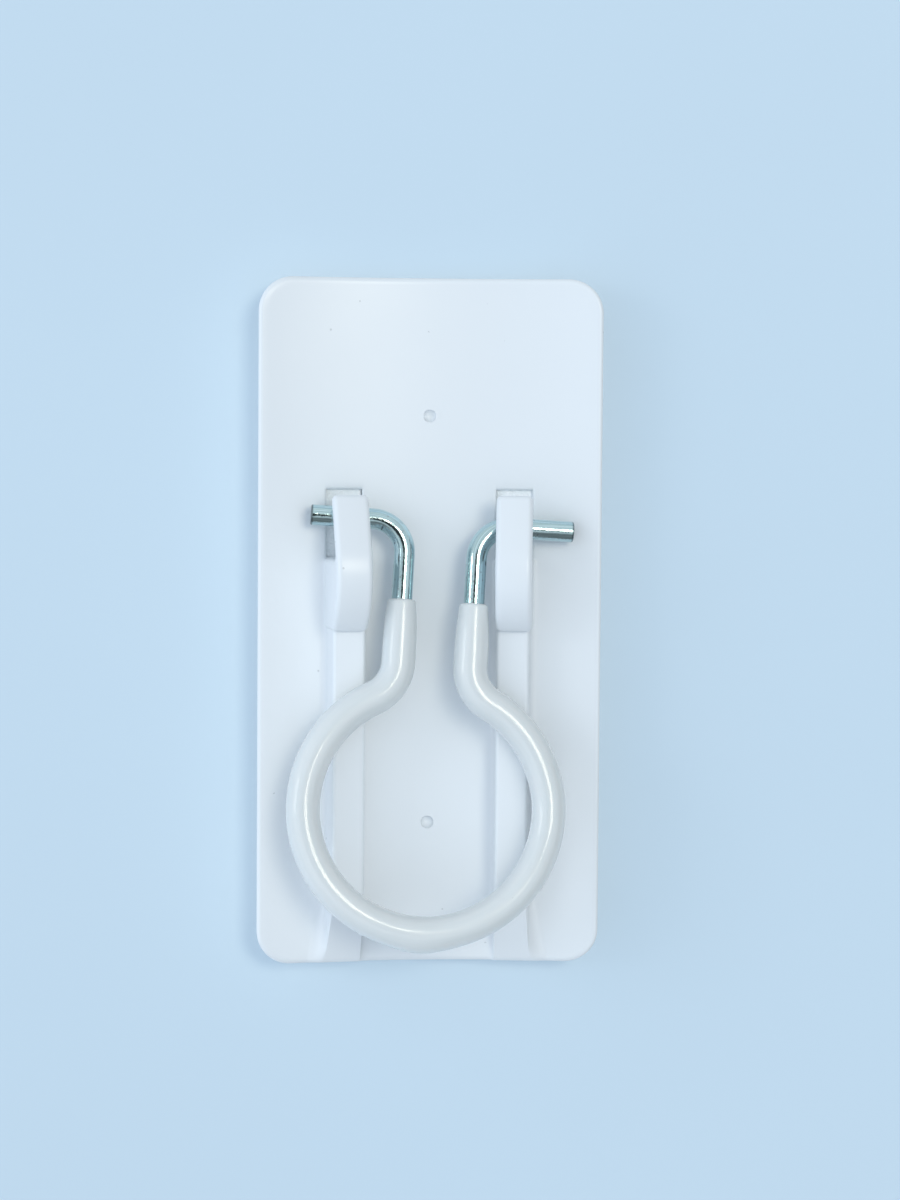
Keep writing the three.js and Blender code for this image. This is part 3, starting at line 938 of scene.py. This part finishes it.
def stored(tree, name, output):
    """What a piece's mesh keeps under a name."""
    return add_node(tree, "ShaderNodeAttribute", attribute_name=name).outputs[output]


def stretched(tree, scale):
    """Places along and round the wire, stretched by a scale for each."""
    values = {"Vector": stored(tree, "lengthwise", "Vector"), "Scale": scale}
    return add_node(tree, "ShaderNodeMapping", values).outputs["Vector"]


def mottled(tree, places, pale, deep, scale):
    """A pale colour with soft patches of a deeper one, and the mask of the patches."""
    values = {"Scale": scale, "Pale": rgba(pale), "Deep": rgba(deep)}
    made = place_group(tree, soft_mottle, places, **values)
    return made["Color"], made["Mask"]


def specked(tree, base, places, dust, strength, **values):
    """The base colour with handling specks scattered over it."""
    specks = place_group(tree, handling_specks, places, **values)["Mask"]
    return tint(tree, base, spread(tree, specks, 0, 1, high=strength), dust)


def bump(tree, shader, height, strength, distance):
    """Lets a height bend the shader's normal."""
    values = {"Height": height, "Strength": strength, "Distance": distance}
    made = add_node(tree, "ShaderNodeBump", values)
    feed(tree, shader, {"Normal": made.outputs["Normal"]})


def grained(tree, shader, places, strength, distance, **values):
    """Lets a grain bend the shader's normal."""
    grain = place_group(tree, skin_grain, places, **values)["Height"]
    bump(tree, shader, grain, strength, distance)


def let_through(tree, shader, mask, colour_value=WHITE):
    """Lets light of this colour straight through the surface where the mask says so."""
    clear = add_node(tree, "ShaderNodeBsdfTransparent", {"Color": rgba(colour_value)})
    values = {"Fac": mask, 1: shader.outputs["BSDF"], 2: clear.outputs["BSDF"]}
    mix = add_node(tree, "ShaderNodeMixShader", values)
    feed(tree, tree.nodes["Material Output"], {"Surface": mix.outputs["Shader"]})


def plate_finish(finishes):
    """White moulded plastic: satin, hardly mottled, with a fine grain and a few handling specks."""
    material, tree, shader = new_material("moulded_white", IOR=1.49)
    places = object_places(tree)
    base, patches = mottled(tree, places, finishes.plate_pale, finishes.plate_deep, scale=55.0)
    specks = {"Scale": 420.0, "Size": 0.07, "Spread": 0.63}
    base = specked(tree, base, places, finishes.dust, strength=0.35, **specks)
    rough = spread(tree, patches, 0, 1, low=0.29, high=0.32)
    feed(tree, shader, {"Base Color": base, "Roughness": rough})
    grain = {"Grain": 4200.0, "Waves": 40.0, "Depth": 0.35}
    grained(tree, shader, places, strength=0.1, distance=0.04 * MM, **grain)
    return material


def vinyl_finish(finishes):
    """Dipped vinyl: soft and glossy, with faint streaks along the wire, and slightly see-through,
    so that a part of the lamps' light goes straight on into its shadow."""
    material, tree, shader = new_material(
        "dipped_vinyl",
        Subsurface_Weight=0.35,
        Subsurface_Radius=(1.0, 1.1, 1.15),
        Subsurface_Scale=1.2 * MM,
        IOR=1.5,
        Coat_Weight=0.65,
        Coat_Roughness=0.03,
    )
    places = object_places(tree)
    streaks = stretched(tree, scale=(0.35, 1.6, 1.6))
    base, patches = mottled(tree, streaks, finishes.vinyl_pale, finishes.vinyl_deep, scale=1.4)
    specks = {"Scale": 520.0, "Size": 0.07, "Spread": 0.6}
    base = specked(tree, base, places, finishes.dust, strength=0.3, **specks)
    rough = spread(tree, patches, 0, 1, low=0.3, high=0.36)
    feed(tree, shader, {"Base Color": base, "Roughness": rough})
    grain = {"Grain": 1500.0, "Waves": 260.0, "Depth": 0.06}
    grained(tree, shader, places, strength=0.07, distance=0.1 * MM, **grain)
    path = tree.nodes.new("ShaderNodeLightPath").outputs
    let_through(tree, shader, path["Is Shadow Ray"], finishes.vinyl_clear)
    return material


def zinc_finish(finishes):
    """Zinc-plated wire, its colour tinted teal as painted reflection of the blue wall: drawn lines
    along it, darker speckle in them, dark cut ends and a few tool scuffs."""
    material, tree, shader = new_material("zinc_plating", Metallic=1.0)
    places = object_places(tree)
    drawn = stretched(tree, scale=(0.5, 3.2, 3.2))
    # The teal in both zinc colours is painted reflection of the blue wall.
    base, lines = mottled(tree, drawn, finishes.zinc_pale, finishes.zinc_deep, scale=2.6)
    specks = {"Scale": 1500.0, "Size": 0.22, "Spread": 0.52}
    base = specked(tree, base, places, finishes.dust, strength=0.55, **specks)
    # Near-black towards each cut end.
    cut = spread(tree, stored(tree, "from_end", "Fac"), *CUT_FADE, high=0.8)
    base = tint(tree, base, cut, finishes.cut)
    along = stored(tree, "lengthwise", "Vector")
    for centre, size in SCUFFS:
        scuff = place_group(tree, tool_scuff, along, Centre=centre, Size=size)["Mask"]
        base = tint(tree, base, scuff, finishes.cut)
    rough = spread(tree, lines, 0, 1, low=0.05, high=0.12)
    feed(tree, shader, {"Base Color": base, "Roughness": rough})
    grain = {"Grain": 5200.0, "Waves": 700.0, "Depth": 0.5}
    grained(tree, shader, places, strength=0.4, distance=0.06 * MM, **grain)
    return material


def foam_finish(finishes):
    """Foam: small cells, matt."""
    material, tree, shader = new_material("pad_foam", IOR=1.4)
    places = object_places(tree)
    base, patches = mottled(tree, places, finishes.foam_pale, finishes.foam_deep, scale=900.0)
    rough = spread(tree, patches, 0, 1, low=0.75, high=0.92)
    feed(tree, shader, {"Base Color": base, "Roughness": rough})
    bump(tree, shader, cells(tree, places, scale=2600.0), strength=0.6, distance=0.15 * MM)
    return material


def wall_finish(finishes):
    """The plain wall: faintly mottled from the front, see-through from behind, and open to the
    light that comes from behind, so that the back of the holder is lit too."""
    material, tree, shader = new_material("plain_wall", Roughness=0.85, Specular_IOR_Level=0.2)
    deep = [WALL_PATCHES * value for value in finishes.wall]
    base, _ = mottled(tree, object_places(tree), finishes.wall, deep, scale=9.0)
    feed(tree, shader, {"Base Color": base})
    path = tree.nodes.new("ShaderNodeLightPath").outputs
    behind = tree.nodes.new("ShaderNodeNewGeometry").outputs["Backfacing"]
    soft = maths(tree, "MAXIMUM", path["Is Diffuse Ray"], path["Is Shadow Ray"])
    let_through(tree, shader, maths(tree, "MAXIMUM", behind, soft))
    return material


# Operators and the stage


class MOP_OT_plate(Operator):
    """Makes the dished plate and its two hooks, which are one moulding"""

    bl_idname = "mop_holder.plate"
    bl_label = "Plate and hooks"

    def execute(self, context):
        scene = context.scene
        plate, ribs, hooks = scene.mop_plate, scene.mop_ribs, scene.mop_hooks
        finish = plate_finish(scene.mop_finishes)
        body = mesh_object("moulded_plate", *plate_surface(plate, ribs))
        hand_over(body, "base", "plate_plastic", finish, "base_plate")
        turn = rib_turn(plate, ribs)
        for name, side in (("left_hook", -turn), ("right_hook", turn)):
            hook = mesh_object(name, *hook_surface(plate, hooks, side))
            hand_over(hook, "base", "plate_plastic", finish, "base_plate")
        return {"FINISHED"}


class MOP_OT_pad(Operator):
    """Makes the foam pad that sticks the plate to the wall"""

    bl_idname = "mop_holder.pad"
    bl_label = "Adhesive pad"

    def execute(self, context):
        scene = context.scene
        surface = pad_surface(scene.mop_plate, scene.mop_ribs, scene.mop_pad)
        pad = mesh_object("foam_pad", *surface)
        hand_over(pad, "base", "pad_foam", foam_finish(scene.mop_finishes), "adhesive_pad")
        return {"FINISHED"}


class MOP_OT_wire(Operator):
    """Makes the bent wire"""

    bl_idname = "mop_holder.wire"
    bl_label = "Wire ring"

    def execute(self, context):
        scene = context.scene
        points, faces, lengthwise = wire_surface(scene.mop_wire)
        wire = mesh_object("bent_wire", points, faces)
        store_lengthwise(wire, lengthwise)
        hand_over(wire, "ring", "zinc_wire", zinc_finish(scene.mop_finishes), "wire_ring")
        return {"FINISHED"}


class MOP_OT_coat(Operator):
    """Makes the vinyl coat on the ring and the lower arms"""

    bl_idname = "mop_holder.coat"
    bl_label = "Vinyl coat"

    def execute(self, context):
        scene = context.scene
        points, faces, lengthwise = coat_surface(scene.mop_wire, scene.mop_coat)
        coat = mesh_object("dipped_coat", points, faces)
        store_lengthwise(coat, lengthwise)
        hand_over(coat, "ring", "vinyl", vinyl_finish(scene.mop_finishes), "vinyl_coat")
        return {"FINISHED"}


def make_wall(scene, stage):
    """One square wall, just behind the pad."""
    half = stage.wall_size / 2
    corners = half * np.array([(-1, 0, -1), (1, 0, -1), (1, 0, 1), (-1, 0, 1)])
    corners[:, 1] = WALL_GAP
    wall = mesh_object("wall", corners, [[0, 1, 2, 3]])
    wall.data.materials.append(wall_finish(scene.mop_finishes))


def make_lamp(scene, name, watts, tint_colour, size, right, up, distance):
    """A square lamp that faces the holder from the given angles off straight on."""
    lamp = bpy.data.lights.new(name, "AREA")
    lamp.energy = watts
    lamp.color = tint_colour
    lamp.size = size
    made = bpy.data.objects.new(name, lamp)
    turn = Matrix.Rotation(right, 4, "Z") @ Matrix.Rotation(math.pi / 2 - up, 4, "X")
    made.matrix_world = turn @ Matrix.Translation((0, 0, distance))
    scene.collection.objects.link(made)


def facing(tree, direction, start, end):
    """How far a direction of the surroundings lies within a cone: 0 at the start cosine, 1 at the
    end cosine."""
    place = tree.nodes.new("ShaderNodeTexCoord").outputs["Generated"]
    turn = add_node(tree, "ShaderNodeVectorMath", {0: place, 1: direction}, operation="DOT_PRODUCT")
    return spread(tree, turn.outputs["Value"], start, end, interpolation_type="SMOOTHSTEP")


def make_world(scene, stage):
    """Light from all round, brightest from the front, the left and behind, and a plain pale
    background that the camera, metal and gloss see instead. In metal and gloss it is dim from below
    and from the far right, and dark where the camera is, as a room looks from the holder."""
    world = bpy.data.worlds.new("studio")
    world.use_nodes = True
    tree = world.node_tree
    room, shown = stage.ambient_colour, stage.shown_colour
    base = rgba(SIDE_LIGHT * room)
    sides = ((FROM_FRONT, room), (FROM_LEFT, LEFT_LIGHT * room), (FROM_BEHIND, shown))
    for side, colour_value in sides:
        base = tint(tree, base, facing(tree, *side), colour_value)
    light = feed(tree, tree.nodes["Background"], {"Color": base, "Strength": stage.ambient})
    dim = rgba(WHITE)
    for direction, start, end, left in DIM_IN_GLOSS:
        dim = tint(tree, dim, facing(tree, direction, start, end), (left, left, left))
    path = tree.nodes.new("ShaderNodeLightPath").outputs
    values = {"Factor": path["Is Glossy Ray"], "A": rgba(shown), "B": dim}
    seen = add_node(tree, "ShaderNodeMix", values, data_type="RGBA", blend_type="MULTIPLY")
    plain = add_node(tree, "ShaderNodeBackground", {"Color": seen.outputs["Result"]})
    gloss = maths(tree, "MAXIMUM", path["Is Glossy Ray"], path["Is Transmission Ray"])
    values = {
        "Fac": maths(tree, "MAXIMUM", path["Is Camera Ray"], gloss),
        1: light.outputs["Background"],
        2: plain.outputs["Background"],
    }
    mix = add_node(tree, "ShaderNodeMixShader", values)
    feed(tree, tree.nodes["World Output"], {"Surface": mix.outputs["Shader"]})
    scene.world = world


def make_camera(scene, stage):
    """The camera, turned from looking straight at the wall."""
    camera = bpy.data.cameras.new("camera")
    camera.sensor_fit = "VERTICAL"
    camera.lens = camera.sensor_height * stage.focal_share
    made = bpy.data.objects.new("camera", camera)
    turn = Matrix.Rotation(stage.camera_yaw, 4, "Z")
    turn = turn @ Matrix.Rotation(stage.camera_pitch, 4, "X")
    turn = turn @ Matrix.Rotation(stage.camera_roll, 4, "Y")
    level = Matrix.Rotation(math.pi / 2, 4, "X")
    place = Matrix.Translation((stage.camera_x, stage.camera_y, stage.camera_z))
    made.matrix_world = place @ turn @ level
    scene.collection.objects.link(made)
    scene.camera = made


class MOP_OT_stage(Operator):
    """Makes the wall, the lamps, the world and the camera"""

    bl_idname = "mop_holder.stage"
    bl_label = "Stage"

    def execute(self, context):
        scene = context.scene
        stage = scene.mop_stage
        scene.view_settings.view_transform = "Standard"
        make_camera(scene, stage)
        make_wall(scene, stage)
        make_world(scene, stage)
        for name, turn in (("key", stage.key_right), ("fill", -stage.fill_left)):
            watts, tint_colour, size, up = (
                getattr(stage, f"{name}_{part}") for part in ("watts", "colour", "size", "up")
            )
            make_lamp(scene, name, watts, tint_colour, size, turn, up, stage.lamp_distance)
        return {"FINISHED"}


class MOP_PT_sidebar(Panel):
    """Sizes and finishes, and the operators that make the pieces"""

    bl_idname = "MOP_PT_sidebar"
    bl_label = "Mop Holder"
    bl_space_type = "VIEW_3D"
    bl_region_type = "UI"
    bl_category = "Mop Holder"

    def draw(self, context):
        layout = self.layout
        for operator in OPERATORS:
            layout.operator(operator.bl_idname)
        for name in GROUPS:
            group = getattr(context.scene, name)
            layout.separator()
            for prop in group.bl_rna.properties:
                if prop.identifier not in {"rna_type", "name"}:
                    layout.prop(group, prop.identifier)


GROUPS = {
    "mop_plate": PlateSizes,
    "mop_ribs": RibSizes,
    "mop_hooks": HookSizes,
    "mop_wire": WireSizes,
    "mop_coat": CoatSizes,
    "mop_pad": PadSizes,
    "mop_finishes": Finishes,
    "mop_stage": StageSettings,
}
OPERATORS = (MOP_OT_stage, MOP_OT_plate, MOP_OT_pad, MOP_OT_wire, MOP_OT_coat)


def register():
    """Registers the classes and gives each scene its sizes and finishes."""
    for group in GROUPS.values():
        bpy.utils.register_class(group)
    for name, group in GROUPS.items():
        setattr(bpy.types.Scene, name, PointerProperty(type=group))
    for operator in OPERATORS:
        bpy.utils.register_class(operator)
    bpy.utils.register_class(MOP_PT_sidebar)


def unregister():
    """Takes back what register did."""
    bpy.utils.unregister_class(MOP_PT_sidebar)
    for operator in reversed(OPERATORS):
        bpy.utils.unregister_class(operator)
    for name in GROUPS:
        delattr(bpy.types.Scene, name)
    for group in reversed(GROUPS.values()):
        bpy.utils.unregister_class(group)


def main():
    """Makes the stage and the pieces."""
    register()
    bpy.ops.mop_holder.stage()
    bpy.ops.mop_holder.plate()
    bpy.ops.mop_holder.pad()
    bpy.ops.mop_holder.wire()
    bpy.ops.mop_holder.coat()


if __name__ == "__main__":
    main()
